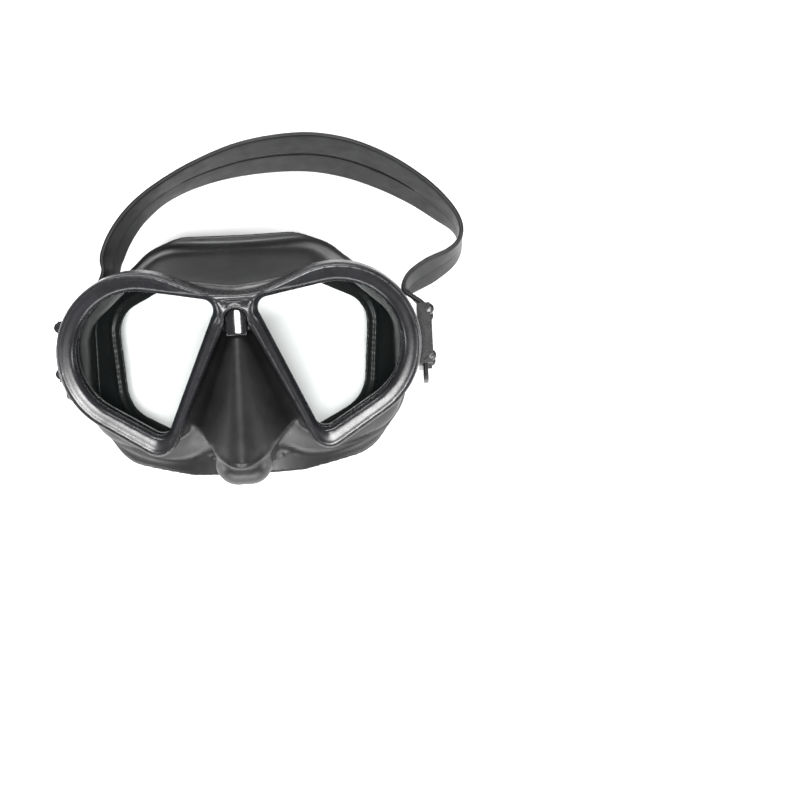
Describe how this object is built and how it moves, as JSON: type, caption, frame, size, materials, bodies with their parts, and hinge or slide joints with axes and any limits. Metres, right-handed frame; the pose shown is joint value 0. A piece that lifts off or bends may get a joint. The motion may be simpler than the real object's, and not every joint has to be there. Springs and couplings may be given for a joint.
{
  "type": "snorkel mask",
  "caption": "Low-volume two-lens diving and snorkelling mask with silicone skirt, nose pocket, swivelling strap buckles and a split silicone head strap",
  "frame": {"origin": "middle of the surface that the face seal rests on, on the mask's own middle line, below the bridge", "axes": "+X across the mask to the wearer's left as seen from the front, +Y towards the forehead side, +Z away from the face, lenses up"},
  "size_m": [0.178, 0.1487, 0.0705],
  "materials": {
    "satin_plastic": "satin black moulded plastic with a fine grain",
    "gloss_plastic": "polished black plastic",
    "buckle_plastic": "satin black moulded plastic",
    "skirt_silicone": "matt black liquid silicone",
    "strap_silicone": "satin black silicone",
    "tempered_glass": "clear tempered glass",
    "steel": "stainless steel"
  },
  "bodies": {
    "mask": {"frame": "satin_plastic", "bridge_clip": "gloss_plastic", "skirt": "skirt_silicone", "lens_left": "tempered_glass", "lens_right": "tempered_glass", "retainer_left": "satin_plastic", "retainer_right": "satin_plastic", "side_tab_left": "skirt_silicone", "side_tab_right": "skirt_silicone", "tab_screws_left": "steel", "tab_screws_right": "steel", "swivel_pin_left": "steel", "swivel_pin_right": "steel"},
    "head_strap": {"strap": "strap_silicone", "buckle_body_left": "buckle_plastic", "buckle_body_right": "buckle_plastic", "roller_axle_left": "steel", "roller_axle_right": "steel", "lever_pin_left": "steel", "lever_pin_right": "steel", "lever_spring_left": "steel", "lever_spring_right": "steel"},
    "roller_left": {"roller_left": "buckle_plastic"},
    "roller_right": {"roller_right": "buckle_plastic"},
    "release_lever_left": {"release_lever_left": "buckle_plastic"},
    "release_lever_right": {"release_lever_right": "buckle_plastic"}
  },
  "joints": [
    {"name": "strap_swing", "type": "hinge", "parent": "mask", "child": "head_strap", "pos_m": [0.0018, 0.0024, 0.0237], "axis": [1, 0, 0], "range_deg": [-3, 12]},
    {"name": "roller_spin_left", "type": "hinge", "parent": "head_strap", "child": "roller_left", "pos_m": [-0.0776, 0.01296, 0.02278], "axis": [0, 0.0872, 0.9962], "continuous": true},
    {"name": "lever_lift_left", "type": "hinge", "parent": "head_strap", "child": "release_lever_left", "pos_m": [-0.0776, -0.00696, 0.02452], "axis": [0, 0.0872, 0.9962], "range_deg": [0, 30], "stiffness_Nm_per_rad": 0.02, "deforming": ["lever_spring_left"]},
    {"name": "roller_spin_right", "type": "hinge", "parent": "head_strap", "child": "roller_right", "pos_m": [0.0811, 0.01296, 0.02278], "axis": [0, 0.0872, 0.9962], "continuous": true},
    {"name": "lever_lift_right", "type": "hinge", "parent": "head_strap", "child": "release_lever_right", "pos_m": [0.0811, -0.00696, 0.02452], "axis": [0, -0.0872, -0.9962], "range_deg": [0, 30], "stiffness_Nm_per_rad": 0.02, "deforming": ["lever_spring_right"]}
  ]
}
